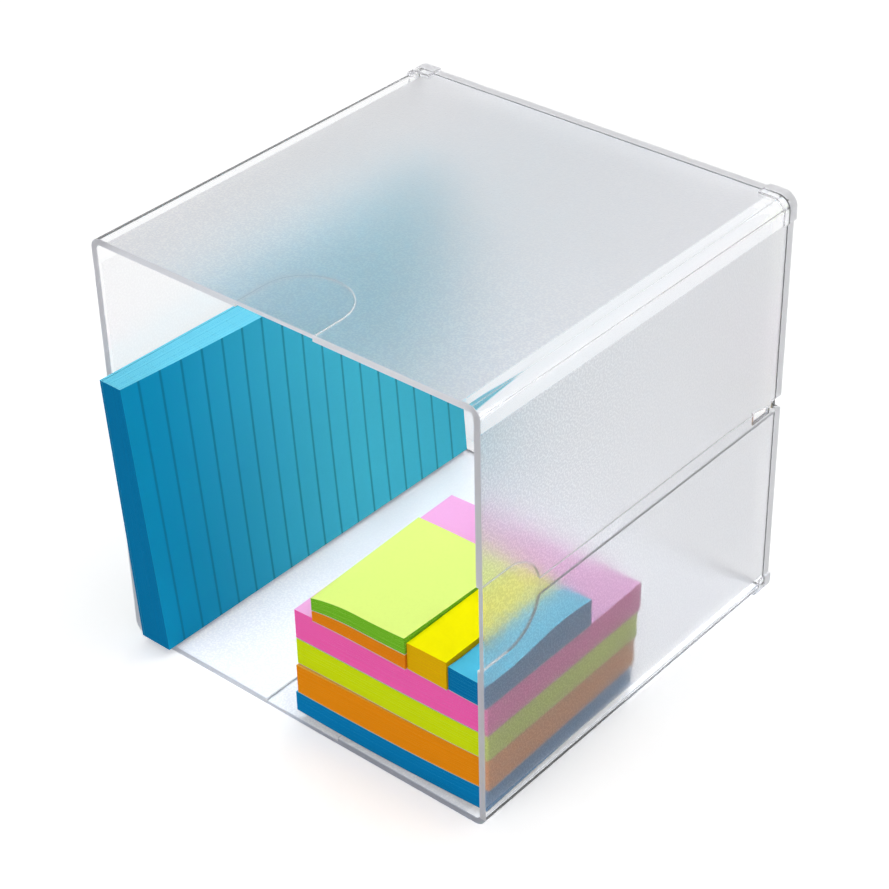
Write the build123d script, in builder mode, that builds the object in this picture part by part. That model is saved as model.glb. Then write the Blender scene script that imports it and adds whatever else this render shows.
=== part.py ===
from build123d import *
import os

# Clear plastic desk cube, open at the front, with the note pads that it holds.
# +X is right and +Z is up as seen from the open front, which faces -Y.
# The origin is the middle of the base face. All sizes are in millimetres.

# Cube: four walls moulded as one sleeve, closed by a separate back panel
cube_width = 152.4
cube_depth = 152.4
cube_height = 152.4
wall = 2.2
panel_thickness = 2.6
edge_radius = 4.0
least_inner_radius = 0.5

# Thumb recess in the middle of each wall's front edge, on its inner face
thumb_width = 30.5
thumb_straight = 12.0
thumb_depth = 0.9

# Shelf groove that runs from each side wall's recess to the back
groove_height = 6.1
groove_depth = 0.8
groove_drop = 1.2
groove_drop_length = 24.0

# Slit through each side wall, behind it the notch in the rear rim
slit_length = 9.3
slit_front_height = 4.5
slit_back_height = 2.6
slit_below_middle = 0.8
bridge = 1.5
notch_length = 5.2
notch_above_middle = 2.8
notch_front_height = 2.5
notch_back_height = 4.6

# Lugs of the back panel, which hook round the sleeve's four rear corners
lug_proud = 0.9
lug_fit = 0.1
lug_reach = 4.0
lug_width = 9.4
lug_top_height = 8.2
lug_base_height = 7.0

# Running room between a pad and the wall, floor or pad beside it
pad_gap = 0.2

# Lined pad: stands on its long edge and leans its head on the left wall
lined_length = 152.4
lined_height = 101.6
lined_foot_thickness = 12.7
lined_head_thickness = 9.2
lined_card_thickness = 0.8
lined_card_gap = 0.2
lined_foot_front_inset = 16.4
lined_foot_back_inset = 18.3
lined_head_back_inset = 12.8
lined_head_forward = 2.3
lined_reach = 155.0

# Square sticky pads, from the floor up: thickness, how far the right front corner sits behind the cube's
# front edge, and the turn about that corner in degrees
square_side = 75.6
square_reach = 84.0
square_pads = {
    "blue_pad": {"thickness": 8.6, "front_inset": 3.2, "turn": 1.6},
    "orange_pad": {"thickness": 11.8, "front_inset": 3.2, "turn": 1.6},
    "lime_pad": {"thickness": 9.9, "front_inset": 3.0, "turn": 0.8},
    "pink_pad": {"thickness": 11.4, "front_inset": 3.0, "turn": 0.8},
}
square_liner_thickness = 0.3

# Small pads on the square ones: width, and thickness at the front and at the back
small_reach = 57.0
small_note_width = 38.1
small_note_length = 50.8
small_note_front_inset = 0.8
small_orange_thickness = 4.4
small_green_thickness = 5.8
flag_length = 50.8
yellow_flags_width = 15.4
yellow_flags_front_inset = 1.6
yellow_flags_thickness = 10.6
blue_flags_width = 13.0
blue_flags_front_inset = 2.2
blue_flags_front_thickness = 9.2
blue_flags_back_thickness = 10.4
small_liner_thickness = 0.3

front_y = -cube_depth / 2
back_y = cube_depth / 2
seam_y = back_y - panel_thickness
inner_x = cube_width / 2 - wall
inner_radius = max(edge_radius - wall, least_inner_radius)
floor_z = wall
ceiling_z = cube_height - wall
middle_z = cube_height / 2
cut_over = 1.0
sides = (-1, 1)

os.makedirs("parts", exist_ok=True)


def write(builder, name):
    builder.part.label = name
    export_step(builder.part, f"parts/{name}.step")
    print(name, round(builder.part.volume), "mm3")


# Rim features of the side walls, drawn as (y, z) outlines
thumb_apex_y = front_y + thumb_straight + thumb_width / 2
groove_base = middle_z - groove_height / 2
groove_top = middle_z + groove_height / 2
slit_back_y = back_y - notch_length - bridge
slit_front_y = slit_back_y - slit_length
slit_base = middle_z - slit_below_middle
notch_top = middle_z + notch_above_middle
notch_front_y = back_y - notch_length

groove_outline = [
    (thumb_apex_y - thumb_straight, groove_base),
    (seam_y + cut_over, groove_base),
    (seam_y + cut_over, groove_top - groove_drop),
    (slit_back_y, groove_top - groove_drop),
    (slit_back_y - groove_drop_length, groove_top),
    (thumb_apex_y - thumb_straight, groove_top),
]
slit_outline = [
    (slit_front_y, slit_base),
    (slit_back_y, slit_base),
    (slit_back_y, slit_base + slit_back_height),
    (slit_front_y, slit_base + slit_front_height),
]
notch_outline = [
    (notch_front_y, notch_top - notch_front_height),
    (back_y, notch_top - notch_back_height),
    (back_y + cut_over, notch_top - notch_back_height),
    (back_y + cut_over, notch_top),
    (notch_front_y, notch_top),
]


def cut_side_walls(outline, depth):
    for side in sides:
        with BuildSketch(Plane.YZ.offset(side * inner_x)) as profile:
            with BuildLine():
                Polyline(*outline, close=True)
            make_face()
        extrude(profile.sketch, amount=side * depth, mode=Mode.SUBTRACT)


with BuildPart() as cube_sleeve:
    with BuildSketch(Plane.XZ.offset(-seam_y)):
        with Locations((0, middle_z)):
            RectangleRounded(cube_width, cube_height, edge_radius)
            RectangleRounded(
                cube_width - 2 * wall, cube_height - 2 * wall, inner_radius, mode=Mode.SUBTRACT
            )
    extrude(amount=seam_y - front_y)
    inner_faces = {
        (0, 0, -1): (0, front_y, floor_z),
        (0, 0, 1): (0, front_y, ceiling_z),
        (-1, 0, 0): (-inner_x, front_y, middle_z),
        (1, 0, 0): (inner_x, front_y, middle_z),
    }
    for into_wall, centre in inner_faces.items():
        along = Vector(0, 1, 0).cross(Vector(*into_wall))
        with BuildSketch(Plane(origin=centre, x_dir=along, z_dir=into_wall)):
            with Locations((0, thumb_straight / 2)):
                Rectangle(thumb_width, thumb_straight)
            with Locations((0, thumb_straight)):
                Circle(thumb_width / 2)
        extrude(amount=thumb_depth, mode=Mode.SUBTRACT)
    cut_side_walls(groove_outline, groove_depth)
    cut_side_walls(slit_outline, wall + cut_over)
    cut_side_walls(notch_outline, wall + cut_over)
write(cube_sleeve, "cube_sleeve")

# The lugs are flush with the base, so only their sides stand proud there
lug_top_span = lug_top_height + lug_proud
lug_span = lug_width + lug_proud
lug_x = cube_width / 2 + lug_proud - lug_span / 2
lug_spots = {
    (lug_x, lug_base_height / 2): lug_base_height,
    (-lug_x, lug_base_height / 2): lug_base_height,
    (lug_x, cube_height + lug_proud - lug_top_span / 2): lug_top_span,
    (-lug_x, cube_height + lug_proud - lug_top_span / 2): lug_top_span,
}


def lug_blanks():
    for spot, height in lug_spots.items():
        with Locations(spot):
            Rectangle(lug_span, height)
    with Locations((0, middle_z)):
        RectangleRounded(
            cube_width + 2 * lug_proud,
            cube_height + 2 * lug_proud,
            edge_radius + lug_proud,
            mode=Mode.INTERSECT,
        )


with BuildPart() as back_panel:
    with BuildSketch(Plane.XZ.offset(-back_y)):
        lug_blanks()
        with Locations((0, middle_z)):
            RectangleRounded(cube_width, cube_height, edge_radius)
    extrude(amount=panel_thickness)
    with BuildSketch(Plane.XZ.offset(-seam_y)):
        lug_blanks()
        with Locations((0, middle_z)):
            RectangleRounded(
                cube_width + 2 * lug_fit, cube_height + 2 * lug_fit, edge_radius + lug_fit, mode=Mode.SUBTRACT
            )
    extrude(amount=lug_reach)
    cut_side_walls(notch_outline, wall + cut_over)
write(back_panel, "back_panel")


# The lined pad's sheets and its backing card: each a ruled loft from the foot to the head
lined_foot_z = floor_z + pad_gap
lined_head_z = lined_foot_z + lined_height
lined_foot_back_y = seam_y - pad_gap
lined_head_back_y = lined_foot_back_y - lined_head_forward
lined_head_front_x = -inner_x + pad_gap + lined_head_thickness
lined_head_back_x = -inner_x + pad_gap + lined_head_back_inset
lined_foot_front_x = -inner_x + lined_foot_front_inset
lined_foot_back_x = -inner_x + lined_foot_back_inset


def lined_section(z, front_x, back_x, end_y, right_side, left_side):
    with BuildSketch(Plane.XY.offset(z)) as section:
        with BuildLine():
            Polyline(
                (front_x - right_side, end_y - lined_length),
                (back_x - right_side, end_y),
                (back_x - left_side, end_y),
                (front_x - left_side, end_y - lined_length),
                close=True,
            )
        make_face()
    return section.sketch


def lined_layer(foot_right, foot_left, head_right, head_left):
    foot = lined_section(
        lined_foot_z, lined_foot_front_x, lined_foot_back_x, lined_foot_back_y, foot_right, foot_left
    )
    head = lined_section(
        lined_head_z, lined_head_front_x, lined_head_back_x, lined_head_back_y, head_right, head_left
    )
    loft([foot, head], ruled=True)


lined_foot_sheets = lined_foot_thickness - lined_card_thickness - lined_card_gap
lined_head_sheets = lined_head_thickness - lined_card_thickness - lined_card_gap

with BuildPart() as lined_pad_sheets:
    lined_layer(0, lined_foot_sheets, 0, lined_head_sheets)
write(lined_pad_sheets, "lined_pad_sheets")

with BuildPart() as lined_pad_card:
    lined_layer(
        lined_foot_sheets + lined_card_gap,
        lined_foot_thickness,
        lined_head_sheets + lined_card_gap,
        lined_head_thickness,
    )
write(lined_pad_card, "lined_pad_card")


# How far right a square corner can stand at a height above the floor, beside the rounded inner edge
def right_limit(z):
    below_edge = inner_radius - min(z - floor_z, inner_radius)
    return inner_x - pad_gap - inner_radius + (inner_radius**2 - below_edge**2) ** 0.5


# Square pads: a block of sheets on a liner, stacked on the floor against the right wall
def square_slab(corner, turn, base_z, thickness):
    with BuildSketch(Plane.XY.offset(base_z)) as outline:
        with Locations(corner):
            Rectangle(square_side, square_side, rotation=turn, align=(Align.MAX, Align.MIN))
    extrude(outline.sketch, amount=thickness)


stack_z = floor_z + pad_gap
for pad_name, pad in square_pads.items():
    corner = (right_limit(stack_z), front_y + pad["front_inset"])
    sheets_z = stack_z + square_liner_thickness
    with BuildPart() as liner:
        square_slab(corner, pad["turn"], stack_z, square_liner_thickness)
    write(liner, f"{pad_name}_liner")
    with BuildPart() as sheets:
        square_slab(corner, pad["turn"], sheets_z, pad["thickness"] - square_liner_thickness)
    write(sheets, f"{pad_name}_sheets")
    stack_z += pad["thickness"] + pad_gap
small_z = stack_z
right_stop = right_limit(small_z)


# Small pads: side profiles in the YZ plane, drawn across from the right wall
def wedge(left_x, width, front_inset, length, base_z, front_rise, back_rise):
    near_y = front_y + front_inset
    with BuildSketch(Plane.YZ.offset(left_x)) as profile:
        with BuildLine():
            Polyline(
                (near_y, base_z),
                (near_y + length, base_z),
                (near_y + length, base_z + back_rise),
                (near_y, base_z + front_rise),
                close=True,
            )
        make_face()
    extrude(profile.sketch, amount=width)


def small_pad(name, left_x, width, front_inset, length, base_z, front_thickness, back_thickness):
    with BuildPart() as liner:
        wedge(left_x, width, front_inset, length, base_z, small_liner_thickness, small_liner_thickness)
    write(liner, f"{name}_liner")
    front_sheets = front_thickness - small_liner_thickness
    back_sheets = back_thickness - small_liner_thickness
    sheets_z = base_z + small_liner_thickness
    with BuildPart() as sheets:
        wedge(left_x, width, front_inset, length, sheets_z, front_sheets, back_sheets)
    write(sheets, f"{name}_sheets")


blue_flags_x = right_stop - blue_flags_width
yellow_flags_x = blue_flags_x - pad_gap - yellow_flags_width
small_note_x = yellow_flags_x - pad_gap - small_note_width
small_green_z = small_z + small_orange_thickness + pad_gap

small_pad(
    "blue_flags", blue_flags_x, blue_flags_width, blue_flags_front_inset, flag_length,
    small_z, blue_flags_front_thickness, blue_flags_back_thickness,
)
small_pad(
    "yellow_flags", yellow_flags_x, yellow_flags_width, yellow_flags_front_inset, flag_length,
    small_z, yellow_flags_thickness, yellow_flags_thickness,
)
small_pad(
    "small_orange_pad", small_note_x, small_note_width, small_note_front_inset, small_note_length,
    small_z, small_orange_thickness, small_orange_thickness,
)
small_pad(
    "small_green_pad", small_note_x, small_note_width, small_note_front_inset, small_note_length,
    small_green_z, small_green_thickness, small_green_thickness,
)

# Each pad slides out of the open front: the travel that takes it clear of the cube
print("lined pad travel", lined_reach, "clears by", round(front_y - (lined_foot_back_y - lined_reach), 1))
for pad_name, pad in square_pads.items():
    rear_y = front_y + pad["front_inset"] + square_side
    print(pad_name, "travel", square_reach, "clears by", round(front_y - (rear_y - square_reach), 1))
print("small pad travel", small_reach, "clears by", round(small_reach - blue_flags_front_inset - flag_length, 1))
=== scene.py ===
import bpy
import math
from mathutils import Matrix, Vector


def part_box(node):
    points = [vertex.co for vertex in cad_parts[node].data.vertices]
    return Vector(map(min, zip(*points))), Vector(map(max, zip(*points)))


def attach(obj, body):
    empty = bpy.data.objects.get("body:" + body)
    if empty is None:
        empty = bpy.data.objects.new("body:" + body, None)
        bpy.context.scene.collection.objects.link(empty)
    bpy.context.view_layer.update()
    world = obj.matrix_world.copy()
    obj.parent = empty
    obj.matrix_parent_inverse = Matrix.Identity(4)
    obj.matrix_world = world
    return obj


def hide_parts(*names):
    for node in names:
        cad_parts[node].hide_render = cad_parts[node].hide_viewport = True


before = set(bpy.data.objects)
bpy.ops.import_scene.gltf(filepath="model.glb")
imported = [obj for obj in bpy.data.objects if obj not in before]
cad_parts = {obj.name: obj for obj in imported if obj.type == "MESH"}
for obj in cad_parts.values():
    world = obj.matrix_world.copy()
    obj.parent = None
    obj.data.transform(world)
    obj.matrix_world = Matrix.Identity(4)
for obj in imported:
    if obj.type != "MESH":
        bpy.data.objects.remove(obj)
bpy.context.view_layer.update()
scene = bpy.context.scene
mm = 0.001
print("frame loaded:", len(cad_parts), "nodes")


# Small helpers for node trees
def addNode(tree, kind, settings=None, inputs=None):
    node = tree.nodes.new(kind)
    for name, value in (settings or {}).items():
        setattr(node, name, value)
    for name, value in (inputs or {}).items():
        plug(tree, value, node.inputs[name])
    return node


def plug(tree, value, socket):
    if isinstance(value, bpy.types.NodeSocket):
        tree.links.new(value, socket)
    else:
        socket.default_value = value


def maths(tree, operation, first, second=0.0):
    return addNode(tree, "ShaderNodeMath", {"operation": operation}, {0: first, 1: second}).outputs[0]


# Masks run from 0 to 1, and a plain share may stand among them
def allOf(tree, *masks):
    product = masks[0]
    for mask in masks[1:]:
        product = maths(tree, "MULTIPLY", product, mask)
    return product


def anyOf(tree, *masks):
    largest = masks[0]
    for mask in masks[1:]:
        largest = maths(tree, "MAXIMUM", largest, mask)
    return largest


def ramp(tree, value, start, end):
    node = addNode(tree, "ShaderNodeMapRange", {"interpolation_type": "SMOOTHSTEP"},
                   {"Value": value, "From Min": start, "From Max": end, "To Min": 0.0, "To Max": 1.0})
    return node.outputs["Result"]


# Sockets 6 and 7 of a Mix node are its two colours, and output 2 is what they give
def mixColour(tree, share, first, second):
    node = addNode(tree, "ShaderNodeMix", {"data_type": "RGBA"}, {"Factor": share, 6: first, 7: second})
    return node.outputs[2]


def newMaterial(name):
    material = bpy.data.materials.new(name)
    material.use_nodes = True
    tree = material.node_tree
    tree.nodes.clear()
    return material, tree, addNode(tree, "ShaderNodeOutputMaterial")


def dress(obj, material):
    obj.data.materials.clear()
    obj.data.materials.append(material)


# A colour as a colour picker shows it, 0 to 255, turned into linear light
def colour(red, green, blue):
    def linear(value):
        value /= 255
        return value / 12.92 if value <= 0.04045 else ((value + 0.055) / 1.055) ** 2.4
    return (linear(red), linear(green), linear(blue), 1.0)


def darker(tone, share):
    return [channel * share for channel in tone[:3]] + [1.0]


# Clear moulded styrene: pebble frosting in the middle of each wall's inner face, smooth margins, satin rims
styrene = {
    "wall": 2.2 * mm,
    "recess": 1.0 * mm,
    "faceSlack": 0.4 * mm,
    "clearTint": (0.985, 0.988, 0.995, 1.0),
    "ior": 1.54,
    "specular": 0.15,
    "smoothRoughness": 0.07,
    # The frosting, which is paler on the left wall, rougher on the top and the base, and darker on the side
    # walls as painted shade of the pads' shaded sides behind them
    "frostedTint": (0.80, 0.815, 0.87, 1.0),
    "sideFrostAndShadeTint": (0.64, 0.645, 0.67, 1.0),
    "leftWallTint": (0.985, 0.985, 0.99, 1.0),
    "leftWallShare": 0.75,
    "frostedRoughness": 0.28,
    "topRoughness": 0.48,
    # The clear margins round it
    "margin": 7.2 * mm,
    "marginShift": 0.7 * mm,  # the right margin is wider than the left one by twice this
    "headMargin": 9.4 * mm,
    "footMargin": 7.0 * mm,
    "rearMargin": 2.0 * mm,
    "sideFrontMargin": 1.2 * mm,
    "edgeSoftness": 1.2 * mm,
    "sideEdgeSoftness": 0.4 * mm,
    # Its pebbles, whose sparkle is painted as lighter speckles in the tint over their grain, fading towards
    # the back
    "pebbleScale": 1500.0,
    "pebbleDetail": 2.0,
    "pebbleRoughness": 0.5,
    "pebbleDepth": 0.04 * mm,
    "grainAndSparkleTint": (0.985, 0.985, 0.99, 1.0),
    "sparkleFrom": 0.47,
    "sparkleTo": 0.59,
    "pebbleFade": 0.75,
    "fadeFrom": 0.7,  # share of the way from the middle to the front
    "fadeTo": 0.3,  # share of the way from the middle to the back
    "fadedGrainAndSparkle": 0.45,
    # The front rims, darkened at the foot under the stack by painted shade and a painted reflection of the
    # pads, painted shade on the side walls' outer feet, and the panel's edges
    "rimDepth": 0.3 * mm,
    "rimTint": (0.90, 0.90, 0.96, 1.0),
    "rimHaze": 0.4,
    "rimRoughness": 0.75,
    "footHeight": 3.0 * mm,
    # painted shade and reflection of the pads on the base's front rim, darker towards the stack
    "stackShadeRimTint": (0.58, 0.61, 0.70, 1.0),
    "stackShadeStart": -30.0 * mm,
    "stackShadeEnd": 15.0 * mm,
    # painted shade on the outer feet of the side walls
    "footShadeTint": (0.72, 0.76, 0.82, 1.0),
    "footShadeWidth": 2.6 * mm,
    "panelEdgeTint": (0.98, 0.98, 1.0, 1.0),
    "panelEdgeHaze": 0.65,
    # The steps round the thumb recesses and the grooves, drawn as a painted highlight line and a painted
    # shade line
    "lineWidth": 0.42 * mm,
    "paintedHighlightTint": (0.98, 0.98, 0.99, 1.0),
    "paintedHighlightHaze": 0.75,
    "paintedShadeLineTint": (0.62, 0.65, 0.70, 1.0),
}

# Outline of the thumb recess and of the shelf groove that leaves it, as the sleeve has them
recessOutline = {"halfWidth": 15.25 * mm, "straight": 12.0 * mm, "grooveHalf": 3.05 * mm,
                 "drop": 1.2 * mm, "dropStart": 45.5 * mm, "dropEnd": 69.5 * mm}


# How far a point lies outside the outline, measured on the wall: along is the depth, beside the way across
def outsideRecess(tree, outline, along, beside, frontY, hasGroove):
    centreY = frontY + outline["straight"]
    past = maths(tree, "MAXIMUM", maths(tree, "SUBTRACT", along, centreY), 0.0)
    fromCentre = addNode(tree, "ShaderNodeCombineXYZ", None, {"X": past, "Y": beside})
    reach = addNode(tree, "ShaderNodeVectorMath", {"operation": "LENGTH"}, {0: fromCentre.outputs[0]})
    outside = maths(tree, "SUBTRACT", reach.outputs["Value"], outline["halfWidth"])
    if hasGroove:
        fall = addNode(tree, "ShaderNodeMapRange", None, {
            "Value": along, "From Min": outline["dropStart"], "From Max": outline["dropEnd"],
            "To Min": 0.0, "To Max": outline["drop"]}).outputs[0]
        over = maths(tree, "SUBTRACT", maths(tree, "ADD", beside, fall), outline["grooveHalf"])
        under = maths(tree, "SUBTRACT", maths(tree, "MULTIPLY", beside, -1.0), outline["grooveHalf"])
        inFront = maths(tree, "SUBTRACT", centreY, along)
        groove = maths(tree, "MAXIMUM", maths(tree, "MAXIMUM", over, under), inFront)
        outside = maths(tree, "MINIMUM", outside, groove)
    return outside


# Masks for the places on the walls, each 1 on its place and 0 elsewhere, and how far back a point lies
def wallMasks(tree, settings, place, low, high):
    split = addNode(tree, "ShaderNodeSeparateXYZ", None, {0: place}).outputs
    halfWidth = high.x
    halfHeight = (high.z - low.z) / 2
    panelFront = high.y - settings["wall"] - settings["recess"]
    back = split["Y"]
    across = maths(tree, "ABSOLUTE", split["X"])
    upright = maths(tree, "SUBTRACT", split["Z"], (low.z + high.z) / 2)
    fromMiddle = maths(tree, "ABSOLUTE", upright)

    def above(value, limit):
        return maths(tree, "GREATER_THAN", value, limit)

    def below(value, limit):
        return maths(tree, "LESS_THAN", value, limit)

    def inside(value, limit, softness):
        return ramp(tree, value, limit + softness, limit)

    def innerFace(value, outer):
        face = outer - settings["wall"]
        pastFace = above(value, face - settings["faceSlack"])
        return allOf(tree, pastFace, below(value, face + settings["recess"]))

    def line(distance, start):
        halfLine = settings["lineWidth"] / 2
        return below(maths(tree, "ABSOLUTE", maths(tree, "SUBTRACT", distance, start + halfLine)), halfLine)

    # Inside the clear margins
    shifted = maths(tree, "ABSOLUTE", maths(tree, "ADD", split["X"], settings["marginShift"]))
    inWidth = inside(shifted, halfWidth - settings["margin"], settings["edgeSoftness"])
    bandMiddle = halfHeight + (settings["footMargin"] - settings["headMargin"]) / 2
    bandHalf = halfHeight - (settings["footMargin"] + settings["headMargin"]) / 2
    offBand = maths(tree, "SUBTRACT", maths(tree, "SUBTRACT", split["Z"], low.z), bandMiddle)
    inHeight = inside(maths(tree, "ABSOLUTE", offBand), bandHalf, settings["sideEdgeSoftness"])
    inDepth = inside(back, high.y - settings["rearMargin"], settings["edgeSoftness"])

    onSideWall = allOf(tree, innerFace(across, halfWidth), inHeight)
    onTopWall = allOf(tree, innerFace(fromMiddle, halfHeight), inWidth)
    onSide = allOf(tree, onSideWall, above(back, low.y + settings["sideFrontMargin"]))
    onPanel = allOf(tree, inWidth, inHeight, below(back, high.y - settings["wall"]), above(back, panelFront))
    frosted = anyOf(tree, allOf(tree, anyOf(tree, onSide, onTopWall), inDepth), onPanel)

    # The steps at the edge of each recess and groove get a painted highlight line with a painted shade line
    # inside it
    fromSide = outsideRecess(tree, recessOutline, back, upright, low.y, True)
    fromTop = outsideRecess(tree, recessOutline, back, split["X"], low.y, False)

    def stepLine(start):
        onSides = allOf(tree, onSideWall, line(fromSide, start))
        onTops = allOf(tree, onTopWall, line(fromTop, start))
        return allOf(tree, anyOf(tree, onSides, onTops), below(back, panelFront))

    # Painted highlight along each step, with painted shade just inside it
    paintedHighlightLine = stepLine(0.0)
    outerEdge = anyOf(tree, above(across, halfWidth - settings["recess"]),
                      above(fromMiddle, halfHeight - settings["recess"]))
    atFoot = below(split["Z"], low.z + settings["footHeight"])
    # Painted shade and reflection of the pads on the base's rim, growing towards the stack
    towardsStackShade = ramp(tree, split["X"], settings["stackShadeStart"], settings["stackShadeEnd"])
    return {
        "back": back,
        "frosted": allOf(tree, frosted, maths(tree, "SUBTRACT", 1.0, paintedHighlightLine)),
        "onSide": onSide,
        "onTop": onTopWall,
        "onLeft": below(split["X"], low.x + settings["wall"] + settings["faceSlack"]),
        "frontRim": below(back, low.y + settings["rimDepth"]),
        "stackShadeRim": allOf(tree, atFoot, towardsStackShade),
        # Painted shade on the outer feet of the side walls
        "footShade": allOf(tree, atFoot, above(across, halfWidth - settings["footShadeWidth"])),
        "panelEdge": allOf(tree, outerEdge, above(back, panelFront)),
        "paintedHighlightLine": paintedHighlightLine,
        "paintedShadeLine": stepLine(-settings["lineWidth"]),
    }


def frostTint(tree, settings, masks, pebble, low, high):
    # Painted sparkle: lighter speckles over the pebbles' grain, evening out towards the back
    sparkle = ramp(tree, pebble, settings["sparkleFrom"], settings["sparkleTo"])
    farther = ramp(tree, masks["back"], low.y * settings["fadeFrom"], high.y * settings["fadeTo"])
    fade = allOf(tree, farther, settings["pebbleFade"])
    grainAndSparkle = maths(tree, "ADD", allOf(tree, sparkle, maths(tree, "SUBTRACT", 1.0, fade)),
                  allOf(tree, fade, settings["fadedGrainAndSparkle"]))
    # The side walls' darker tint is painted shade over the frosting
    tint = mixColour(tree, masks["onSide"], settings["frostedTint"], settings["sideFrostAndShadeTint"])
    tint = mixColour(tree, grainAndSparkle, tint, settings["grainAndSparkleTint"])
    leftShare = allOf(tree, masks["onLeft"], settings["leftWallShare"])
    return mixColour(tree, leftShare, tint, settings["leftWallTint"])


# The tints lie over one another, from the clear moulding up to the painted shade line of the steps
def wallTint(tree, settings, masks, frost):
    # The front rim takes the painted shade and reflection of the pads near the stack
    shadedRimTint = mixColour(tree, masks["stackShadeRim"], settings["rimTint"], settings["stackShadeRimTint"])
    layers = [("frosted", frost), ("footShade", settings["footShadeTint"]), ("frontRim", shadedRimTint),
              ("panelEdge", settings["panelEdgeTint"]), ("paintedHighlightLine", settings["paintedHighlightTint"]),
              ("paintedShadeLine", settings["paintedShadeLineTint"])]
    tint = settings["clearTint"]
    for mask, layer in layers:
        tint = mixColour(tree, masks[mask], tint, layer)
    return tint


def clearStyrene(settings, low, high):
    material, tree, output = newMaterial("clearStyrene")
    place = addNode(tree, "ShaderNodeTexCoord").outputs["Object"]
    masks = wallMasks(tree, settings, place, low, high)
    pebble = addNode(tree, "ShaderNodeTexNoise", None, {
        "Vector": place, "Scale": settings["pebbleScale"], "Detail": settings["pebbleDetail"],
        "Roughness": settings["pebbleRoughness"]}).outputs[0]
    tint = wallTint(tree, settings, masks, frostTint(tree, settings, masks, pebble, low, high))
    haze = anyOf(tree, allOf(tree, masks["frontRim"], settings["rimHaze"]),
                 allOf(tree, masks["panelEdge"], settings["panelEdgeHaze"]),
                 allOf(tree, masks["paintedHighlightLine"], settings["paintedHighlightHaze"]))
    wallRoughness = addNode(tree, "ShaderNodeMapRange", None, {
        "Value": masks["frosted"], "To Min": settings["smoothRoughness"],
        "To Max": settings["frostedRoughness"]}).outputs[0]
    topRoughness = allOf(tree, masks["frosted"], masks["onTop"], settings["topRoughness"])
    rimRoughness = allOf(tree, anyOf(tree, masks["frontRim"], masks["panelEdge"]), settings["rimRoughness"])
    roughness = anyOf(tree, wallRoughness, topRoughness, rimRoughness)
    bump = addNode(tree, "ShaderNodeBump", None, {
        "Strength": masks["frosted"], "Distance": settings["pebbleDepth"], "Height": pebble})
    shader = addNode(tree, "ShaderNodeBsdfPrincipled", None, {
        "Base Color": tint, "IOR": settings["ior"], "Roughness": roughness, "Normal": bump.outputs[0],
        "Specular IOR Level": settings["specular"],
        "Transmission Weight": maths(tree, "SUBTRACT", 1.0, haze)})
    # Lamp light also goes straight through the walls, so that the pads inside the cube are lit
    clear = addNode(tree, "ShaderNodeBsdfTransparent", None, {"Color": settings["clearTint"]})
    lightPath = addNode(tree, "ShaderNodeLightPath")
    mixed = addNode(tree, "ShaderNodeMixShader", None, {
        0: lightPath.outputs["Is Shadow Ray"], 1: shader.outputs[0], 2: clear.outputs[0]})
    plug(tree, mixed.outputs[0], output.inputs["Surface"])
    return material


# Paper: fibres on the flat of a sheet, and the lines of the single sheets on the cut edges of a stack
paperLook = {
    "fibreScale": 900.0,
    "fibreDetail": 4.0,
    "fibreRoughness": 0.6,
    "fibreFrom": 0.1,
    "fibreTo": 0.9,
    "fibreShade": 0.965,
    "sheetStretch": (60.0, 60.0, 5200.0),
    "sheetDetail": 1.0,
    "sheetRoughness": 0.5,
    "sheetFrom": 0.25,
    "sheetTo": 0.75,
    "sheetShade": 0.92,
    "roughness": 0.9,
    "specular": 0.05,
    "bumpStrength": 0.25,
    "bumpDepth": 0.05 * mm,
}


# A ruled page gets painted shade, deeper and darker in colour towards its front end, and its rules cross it
def ruledPage(tree, page, flatPlace, flat):
    along = addNode(tree, "ShaderNodeSeparateXYZ", None, {0: flatPlace}).outputs["X"]
    flat = mixColour(tree, ramp(tree, along, page["paintedShadeUntil"], 0.0), flat, page["paintedShadeColour"])
    count = maths(tree, "DIVIDE", maths(tree, "SUBTRACT", along, page["firstRule"]), page["rulePitch"])
    offLine = maths(tree, "ABSOLUTE", maths(tree, "SUBTRACT", count, maths(tree, "ROUND", count)))
    halfLine = page["ruleWidth"] / page["rulePitch"] / 2
    line = ramp(tree, offLine, halfLine * page["inkEnds"], halfLine * page["inkFull"])
    isRuled = maths(tree, "GREATER_THAN", along, page["firstRule"] / 2)
    return mixColour(tree, allOf(tree, line, isRuled, page["inkStrength"]), flat, page["ink"])


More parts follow.
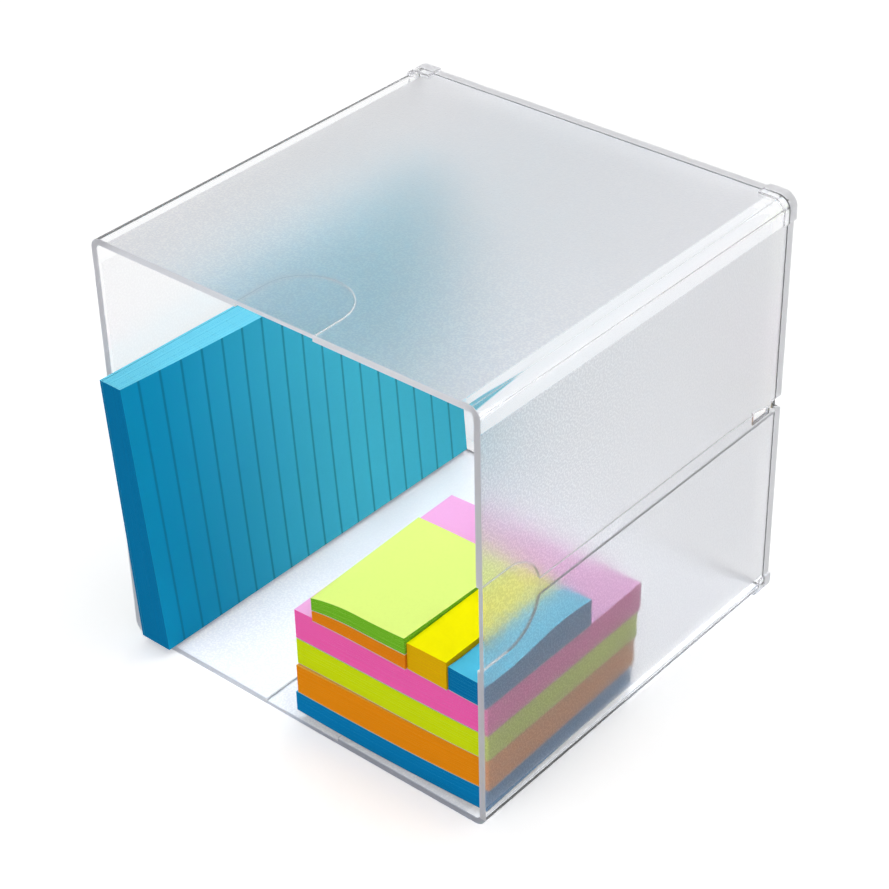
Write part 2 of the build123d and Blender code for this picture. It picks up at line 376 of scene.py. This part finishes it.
def paper(name, flatColour, edgeColour, page=None, litTopEdge=None):
    look = paperLook
    material, tree, output = newMaterial(name)
    flatPlace = addNode(tree, "ShaderNodeAttribute", {"attribute_name": "flatPlace"}).outputs["Vector"]
    isFlat = addNode(tree, "ShaderNodeAttribute", {"attribute_name": "isFlat"}).outputs["Fac"]
    fibres = addNode(tree, "ShaderNodeTexNoise", None, {
        "Vector": flatPlace, "Scale": look["fibreScale"], "Detail": look["fibreDetail"],
        "Roughness": look["fibreRoughness"]}).outputs[0]
    squeezed = addNode(tree, "ShaderNodeMapping", None, {"Vector": flatPlace, "Scale": look["sheetStretch"]})
    sheetLines = addNode(tree, "ShaderNodeTexNoise", None, {
        "Vector": squeezed.outputs[0], "Scale": 1.0, "Detail": look["sheetDetail"],
        "Roughness": look["sheetRoughness"]}).outputs[0]
    flatShade = ramp(tree, fibres, look["fibreFrom"], look["fibreTo"])
    flat = mixColour(tree, flatShade, darker(flatColour, look["fibreShade"]), flatColour)
    edgeShade = ramp(tree, sheetLines, look["sheetFrom"], look["sheetTo"])
    edge = mixColour(tree, edgeShade, darker(edgeColour, look["sheetShade"]), edgeColour)
    if page:
        flat = ruledPage(tree, page, flatPlace, flat)
    # Painted highlight: the top edge of the stack gets a lighter colour of its own, as if lit from above
    if litTopEdge:
        isLitTopEdge = addNode(tree, "ShaderNodeAttribute", {"attribute_name": "isLitTopEdge"}).outputs["Fac"]
        edge = mixColour(tree, isLitTopEdge, edge, litTopEdge)
    height = addNode(tree, "ShaderNodeMix", None, {"Factor": isFlat, 2: sheetLines, 3: fibres})
    bump = addNode(tree, "ShaderNodeBump", None, {
        "Strength": look["bumpStrength"], "Distance": look["bumpDepth"], "Height": height.outputs[0]})
    shader = addNode(tree, "ShaderNodeBsdfPrincipled", None, {
        "Base Color": mixColour(tree, isFlat, edge, flat), "Roughness": look["roughness"],
        "Specular IOR Level": look["specular"], "Normal": bump.outputs[0]})
    plug(tree, shader.outputs[0], output.inputs["Surface"])
    return material


# A stack of loose flat sheets, built flat from its corner at the origin
def stackTree():
    tree = bpy.data.node_groups.new("paperStack", "GeometryNodeTree")
    names = {}
    for name, kind in [("Width", "Float"), ("Length", "Float"), ("Thickness", "Float"), ("Sheets", "Int"),
                       ("Gap share", "Float"), ("Unevenness", "Float"), ("Seed", "Int"),
                       ("Steps across", "Int"), ("Steps along", "Int"), ("Paper", "Material")]:
        socket = tree.interface.new_socket(name=name, in_out="INPUT", socket_type=f"NodeSocket{kind}")
        names[name] = socket.identifier
    tree.interface.new_socket(name="Geometry", in_out="OUTPUT", socket_type="NodeSocketGeometry")
    given = addNode(tree, "NodeGroupInput").outputs
    pitch = maths(tree, "DIVIDE", given["Thickness"], given["Sheets"])
    leaf = maths(tree, "MULTIPLY", pitch, maths(tree, "SUBTRACT", 1.0, given["Gap share"]))
    size = addNode(tree, "ShaderNodeCombineXYZ", None, {"X": given["Width"], "Y": given["Length"], "Z": leaf})
    sheet = addNode(tree, "GeometryNodeMeshCube", None, {
        "Size": size.outputs[0], "Vertices X": given["Steps across"], "Vertices Y": given["Steps along"],
        "Vertices Z": 2})
    first = addNode(tree, "ShaderNodeCombineXYZ", None, {
        "X": maths(tree, "DIVIDE", given["Width"], 2.0), "Y": maths(tree, "DIVIDE", given["Length"], 2.0),
        "Z": maths(tree, "DIVIDE", pitch, 2.0)})
    step = addNode(tree, "ShaderNodeCombineXYZ", None, {"X": 0.0, "Y": 0.0, "Z": pitch})
    pile = addNode(tree, "GeometryNodeMeshLine", {"mode": "OFFSET"}, {
        "Count": given["Sheets"], "Start Location": first.outputs[0], "Offset": step.outputs[0]})
    placed = addNode(tree, "GeometryNodeInstanceOnPoints", None, {
        "Points": pile.outputs[0], "Instance": sheet.outputs["Mesh"]})
    # Each sheet slips a little to one side and to the front or back
    leastSlip = maths(tree, "MULTIPLY", given["Unevenness"], -1.0)
    least = addNode(tree, "ShaderNodeCombineXYZ", None, {"X": leastSlip, "Y": leastSlip, "Z": 0.0})
    most = addNode(tree, "ShaderNodeCombineXYZ", None, {
        "X": given["Unevenness"], "Y": given["Unevenness"], "Z": 0.0})
    slip = addNode(tree, "FunctionNodeRandomValue", {"data_type": "FLOAT_VECTOR"}, {
        0: least.outputs[0], 1: most.outputs[0], "Seed": given["Seed"]})
    moved = addNode(tree, "GeometryNodeTranslateInstances", None, {
        "Instances": placed.outputs[0], "Translation": slip.outputs[0]})
    real = addNode(tree, "GeometryNodeRealizeInstances", None, {0: moved.outputs[0]})
    finished = addNode(tree, "GeometryNodeSetMaterial", None, {
        0: real.outputs[0], "Material": given["Paper"]})
    addNode(tree, "NodeGroupOutput", None, {0: finished.outputs[0]})
    return tree, names


paperStack, stackInputs = stackTree()


def layFlat(name, values):
    base = bpy.data.objects.new(name + "Base", bpy.data.meshes.new(name + "Base"))
    scene.collection.objects.link(base)
    modifier = base.modifiers.new("stack", "NODES")
    modifier.node_group = paperStack
    for key, value in values.items():
        modifier[stackInputs[key]] = value
    evaluated = base.evaluated_get(bpy.context.evaluated_depsgraph_get())
    mesh = bpy.data.meshes.new_from_object(evaluated)
    bpy.data.objects.remove(base)
    mesh.name = name
    return mesh


# The eight corners of a pad's solids: [right][back][upper]
def padCorners(nodes):
    points = [v.co.copy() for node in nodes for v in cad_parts[node].data.vertices]

    def extreme(x, y, z):
        return max(points, key=lambda p: p.x * x + p.y * y + p.z * z)

    return [[[extreme(x, y, z) for z in (-1, 1)] for y in (-1, 1)] for x in (-1, 1)]


def between(corners, across, back, up):
    place = Vector((0.0, 0.0, 0.0))
    for i, shareX in enumerate((1 - across, across)):
        for j, shareY in enumerate((1 - back, back)):
            for k, shareZ in enumerate((1 - up, up)):
                place += corners[i][j][k] * (shareX * shareY * shareZ)
    return place


# The curl of a sheet: its height at the left end, in the middle and at the right end
def rise(profile, share):
    left, middle, right = profile
    end = left if share < 0.5 else right
    return middle + (end - middle) * (1 - 2 * share) ** 2


def finishPad(name, mesh, body, nodes, warp):
    flat = mesh.attributes.new("flatPlace", "FLOAT_VECTOR", "POINT")
    isFlat = mesh.attributes.new("isFlat", "FLOAT", "FACE")
    isLitTopEdge = mesh.attributes.new("isLitTopEdge", "FLOAT", "FACE")
    for index, vertex in enumerate(mesh.vertices):
        flat.data[index].vector = vertex.co
    for index, polygon in enumerate(mesh.polygons):
        isFlat.data[index].value = 1.0 if abs(polygon.normal.z) > 0.5 else 0.0
        # Faces that take the painted highlight of a top edge, where the paper has one
        isLitTopEdge.data[index].value = 1.0 if polygon.normal.y > 0.5 else 0.0
    for vertex in mesh.vertices:
        vertex.co = warp(vertex.co.copy())
    mesh.update()
    piece = bpy.data.objects.new(name, mesh)
    scene.collection.objects.link(piece)
    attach(piece, body)
    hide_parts(*nodes)
    nodes[0] if not nodes[0].endswith("_liner") else "liner_paper"


# What the pads that lie flat have in common
looseSheets = {"gapShare": 0.03, "unevenness": 0.025 * mm, "stepsAcross": 21, "stepsAlong": 9}
# The backing's cut edge is darker than its flat, as painted shade in the thin gap between the pads
liner = {"gapShare": 0.45, "flat": (0.80, 0.79, 0.74, 1.0), "edge": (0.60, 0.62, 0.56, 1.0)}
linerPaper = paper("linerPaper", liner["flat"], liner["edge"])

# How the under and upper sides of each rise (left, middle, right), in millimetres.
# A pad with nothing on it may rise in another way at the back, or in a wave from front to back.
flatPads = {
    "blue_pad": {"under": (1.2, 0.0, 0.7), "upper": (0.3, -0.4, 0.8), "sheets": 22,
                 "flat": colour(70, 190, 230), "edge": colour(0, 128, 190)},
    "orange_pad": {"under": (0.3, -0.4, 0.8), "upper": (-0.3, 0.0, 1.0), "sheets": 30,
                   "flat": colour(255, 190, 90), "edge": colour(240, 144, 10)},
    "lime_pad": {"under": (-0.3, 0.0, 1.0), "upper": (-0.1, 0.0, 0.6), "sheets": 26,
                 "flat": colour(228, 255, 128), "edge": colour(212, 232, 8)},
    "pink_pad": {"under": (-0.1, 0.0, 0.6), "upper": (-0.1, 0.5, 0.1), "sheets": 30, "reachBack": 1.6,
                 "flat": colour(255, 185, 238), "edge": colour(252, 100, 182)},
    "small_orange_pad": {"under": (0.0, 0.5, 0.4), "upper": (-0.4, 1.3, 1.6), "sheets": 22,
                         "flat": colour(255, 190, 90), "edge": colour(235, 135, 15)},
    "small_green_pad": {"under": (-0.4, 1.3, 1.6), "upper": (-1.3, 1.5, 2.2), "upperBack": (0.4, 0.8, 0.6),
                        "sheets": 26,
                        "flat": colour(232, 255, 135), "edge": colour(115, 190, 40)},
    "yellow_flags": {"under": (0.4, 0.3, 0.2), "upper": (-0.1, 0.2, 0.3), "sheets": 26,
                     "flat": colour(255, 246, 0), "edge": colour(230, 178, 4)},
    "blue_flags": {"under": (0.2, 0.1, 0.1), "upper": (0.3, 0.1, 0.0), "sheets": 24,
                   "wave": 1.0, "waveStart": 0.45,
                   "flat": colour(85, 200, 235), "edge": colour(0, 118, 175)},
}


# Takes a point of the flat stack to its place between the solid's corners, and curls it
def curl(pad, corners, size, bottomShare):
    width, length, thickness = size
    headCurl = pad.get("upperBack", pad["upper"])

    def warp(place):
        across = place.x / width
        back = place.y / length
        up = bottomShare + place.z / thickness
        spot = between(corners, across, back, up)
        wave = pad.get("wave", 0.0) * math.sin(2 * math.pi * (back - pad.get("waveStart", 0.0)))
        upper = rise(pad["upper"], across) * (1 - back) + rise(headCurl, across) * back
        spot.z += (rise(pad["under"], across) * (1 - up) + (upper + wave) * up) * mm
        spot.y += pad.get("reachBack", 0.0) * back * mm
        return spot
    return warp


def makeFlatPad(name, pad, seed):
    sheetNode = name + "_sheets"
    linerNode = name + "_liner"
    corners = padCorners([sheetNode, linerNode])
    linerLow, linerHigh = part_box(linerNode)
    width = (corners[1][0][0] - corners[0][0][0]).length
    length = (corners[0][1][0] - corners[0][0][0]).length
    thickness = (corners[0][0][1] - corners[0][0][0]).length
    size = (width, length, thickness)
    linerShare = (linerHigh[2] - linerLow[2]) / thickness
    common = {"Width": width, "Length": length, "Steps across": looseSheets["stepsAcross"],
              "Steps along": looseSheets["stepsAlong"], "Seed": seed}
    sheets = layFlat(name + "_paper", {
        **common, "Thickness": thickness * (1 - linerShare), "Sheets": pad["sheets"],
        "Gap share": looseSheets["gapShare"], "Unevenness": looseSheets["unevenness"],
        "Paper": paper(name + "Paper", pad["flat"], pad["edge"])})
    finishPad(name + "_paper", sheets, name, [sheetNode], curl(pad, corners, size, linerShare))
    backing = layFlat(name + "_backing", {
        **common, "Thickness": thickness * linerShare, "Sheets": 1,
        "Gap share": liner["gapShare"], "Unevenness": 0.0, "Paper": linerPaper})
    finishPad(name + "_backing", backing, name, [linerNode], curl(pad, corners, size, 0.0))


for order, (padName, flatPad) in enumerate(flatPads.items()):
    makeFlatPad(padName, flatPad, order + 1)
print("flat pads made:", len(flatPads))


# The leaning lined pad: laid flat with its ruled face up, then stood on its long edge
linedPad = {
    "sheets": 30,
    "gapShare": 0.05,
    "unevenness": 0.03 * mm,
    "stepsAcross": 13,
    "stepsAlong": 9,
    "seed": 31,
    "headBulge": 3.0 * mm,
    "flat": colour(86, 226, 255),
    "edge": colour(0, 120, 172),
    # painted highlight: a lighter colour for the top edge
    "litTopEdge": colour(112, 212, 238),
    "card": colour(95, 195, 222),
    # painted shade: the ruled page darkens towards its front end
    "page": {"paintedShadeUntil": 115 * mm, "paintedShadeColour": colour(16, 160, 212),
             "firstRule": 7.1 * mm, "rulePitch": 8.58 * mm, "ruleWidth": 0.8 * mm,
             "inkEnds": 1.6, "inkFull": 0.6,  # in half widths of a rule, from its middle
             "inkStrength": 0.5, "ink": colour(12, 100, 140)},
}


def standUp(corners, size, bulge):
    length, height, thickness = size

    def warp(place):
        across = place.z / thickness
        back = place.x / length
        up = place.y / height
        spot = between(corners, across, back, up)
        spot.x += bulge * across * up ** 2 * math.sin(math.pi * back)
        return spot
    return warp


def makeLinedPad(pad):
    sheetCorners = padCorners(["lined_pad_sheets"])
    cardCorners = padCorners(["lined_pad_card"])
    length = (sheetCorners[1][1][0] - sheetCorners[1][0][0]).length
    height = (sheetCorners[1][0][1] - sheetCorners[1][0][0]).length
    thickness = (sheetCorners[1][0][0] - sheetCorners[0][0][0]).length
    cardThickness = (cardCorners[1][0][0] - cardCorners[0][0][0]).length
    common = {"Width": length, "Length": height, "Steps across": pad["stepsAcross"],
              "Steps along": pad["stepsAlong"], "Seed": pad["seed"]}
    sheets = layFlat("lined_pad_paper", {
        **common, "Thickness": thickness, "Sheets": pad["sheets"], "Gap share": pad["gapShare"],
        "Unevenness": pad["unevenness"],
        "Paper": paper("linedPaper", pad["flat"], pad["edge"], pad["page"], pad["litTopEdge"])})
    finishPad("lined_pad_paper", sheets, "lined_pad", ["lined_pad_sheets"],
              standUp(sheetCorners, (length, height, thickness), pad["headBulge"]))
    card = layFlat("lined_pad_backing", {
        **common, "Thickness": cardThickness, "Sheets": 1, "Gap share": 0.0, "Unevenness": 0.0,
        "Paper": paper("cardPaper", pad["card"], pad["edge"], litTopEdge=pad["litTopEdge"])})
    finishPad("lined_pad_backing", card, "lined_pad", ["lined_pad_card"],
              standUp(cardCorners, (length, height, cardThickness), 0.0))


makeLinedPad(linedPad)
print("lined pad made")

# The cube's mouldings keep their solids and get the clear frosted finish
sleeveLow, sleeveHigh = (Vector(corner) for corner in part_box("cube_sleeve"))
panelHigh = Vector(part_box("back_panel")[1])
cubeHigh = Vector((sleeveHigh.x, panelHigh.y, sleeveHigh.z))
styreneFinish = clearStyrene(styrene, sleeveLow, cubeHigh)
for node in ("cube_sleeve", "back_panel"):
    dress(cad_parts[node], styreneFinish)
print("cube finished")

# Floor, world and lamps
stage = {"floorSize": 6.0, "floorDrop": 0.3 * mm, "floorColour": (0.97, 0.97, 0.97, 1.0),
         "floorGlow": 0.3, "underGlow": 0.25,
         "skyColour": (1.0, 1.0, 1.0, 1.0), "skyStrength": 0.48, "sunAngle": 60.0,
         "suns": {"topKey": {"strength": 0.8, "from": (0.1, 0.2, 1.0)},
                  "frontFill": {"strength": 0.64, "from": (-0.25, -1.0, 0.45)}},
         "bounces": 16, "transmissionBounces": 14, "transparentBounces": 16}


# 1 for light that no dull surface has scattered yet, and 0 for the rest
def unscattered(tree, rays):
    return maths(tree, "LESS_THAN", rays["Diffuse Depth"], 0.5)


def makeFloor(settings):
    half = settings["floorSize"] / 2
    drop = -settings["floorDrop"]
    mesh = bpy.data.meshes.new("floor")
    mesh.from_pydata([(-half, -half, drop), (half, -half, drop), (half, half, drop), (-half, half, drop)],
                     [], [(0, 1, 2, 3)])
    floor = bpy.data.objects.new("floor", mesh)
    scene.collection.objects.link(floor)
    material, tree, output = newMaterial("floorFinish")
    shader = addNode(tree, "ShaderNodeBsdfDiffuse", None, {"Color": settings["floorColour"]})
    rays = addNode(tree, "ShaderNodeLightPath").outputs
    seen = maths(tree, "ADD", allOf(tree, rays["Is Camera Ray"], settings["floorGlow"]),
                 allOf(tree, rays["Is Transmission Ray"], settings["underGlow"]))
    glow = addNode(tree, "ShaderNodeEmission", None, {"Strength": allOf(tree, seen, unscattered(tree, rays))})
    lit = addNode(tree, "ShaderNodeAddShader", None, {0: shader.outputs[0], 1: glow.outputs[0]})
    plug(tree, lit.outputs[0], output.inputs["Surface"])
    dress(floor, material)


def makeWorld(settings):
    world = bpy.data.worlds.new("studio")
    world.use_nodes = True
    scene.world = world
    tree = world.node_tree
    tree.nodes.clear()
    rays = addNode(tree, "ShaderNodeLightPath").outputs
    seen = anyOf(tree, rays["Is Camera Ray"], rays["Is Glossy Ray"], rays["Is Transmission Ray"])
    strength = addNode(tree, "ShaderNodeMapRange", None, {
        "Value": allOf(tree, seen, unscattered(tree, rays)),
        "To Min": settings["skyStrength"], "To Max": 1.0})
    sky = addNode(tree, "ShaderNodeBackground", None, {
        "Color": settings["skyColour"], "Strength": strength.outputs[0]})
    output = addNode(tree, "ShaderNodeOutputWorld")
    plug(tree, sky.outputs[0], output.inputs["Surface"])


def makeSuns(settings):
    for name, sun in settings["suns"].items():
        lamp = bpy.data.lights.new(name, "SUN")
        lamp.energy = sun["strength"]
        lamp.angle = math.radians(settings["sunAngle"])
        lamp.cycles.use_multiple_importance_sampling = False
        holder = bpy.data.objects.new(name, lamp)
        holder.rotation_euler = Vector(sun["from"]).to_track_quat("Z", "Y").to_euler()
        scene.collection.objects.link(holder)


makeFloor(stage)
makeWorld(stage)
makeSuns(stage)

# Camera at the photograph's angle
view = {"place": (0.41083, -0.47506, 0.49843), "azimuth": 41.05, "elevation": 34.44, "roll": -1.388,
        "lens": 94.99, "sensor": 36.0, "clipStart": 0.01}


def makeCamera(settings):
    camera = bpy.data.cameras.new("photoView")
    camera.lens = settings["lens"]
    camera.sensor_width = settings["sensor"]
    camera.clip_start = settings["clipStart"]
    seat = bpy.data.objects.new("photoView", camera)
    azimuth, elevation, roll = (math.radians(settings[key]) for key in ("azimuth", "elevation", "roll"))
    forward = Vector((-math.sin(azimuth) * math.cos(elevation), math.cos(azimuth) * math.cos(elevation),
                      -math.sin(elevation)))
    level = Vector((math.cos(azimuth), math.sin(azimuth), 0.0))
    right = level * math.cos(roll) + level.cross(forward) * math.sin(roll)
    up = right.cross(forward)
    turn = Matrix((right, up, -forward)).transposed().to_4x4()
    seat.matrix_world = Matrix.Translation(Vector(settings["place"])) @ turn
    scene.collection.objects.link(seat)
    scene.camera = seat


makeCamera(view)
scene.view_settings.view_transform = "Standard"
scene.cycles.max_bounces = stage["bounces"]
scene.cycles.transmission_bounces = stage["transmissionBounces"]
scene.cycles.transparent_max_bounces = stage["transparentBounces"]
print("stage set")
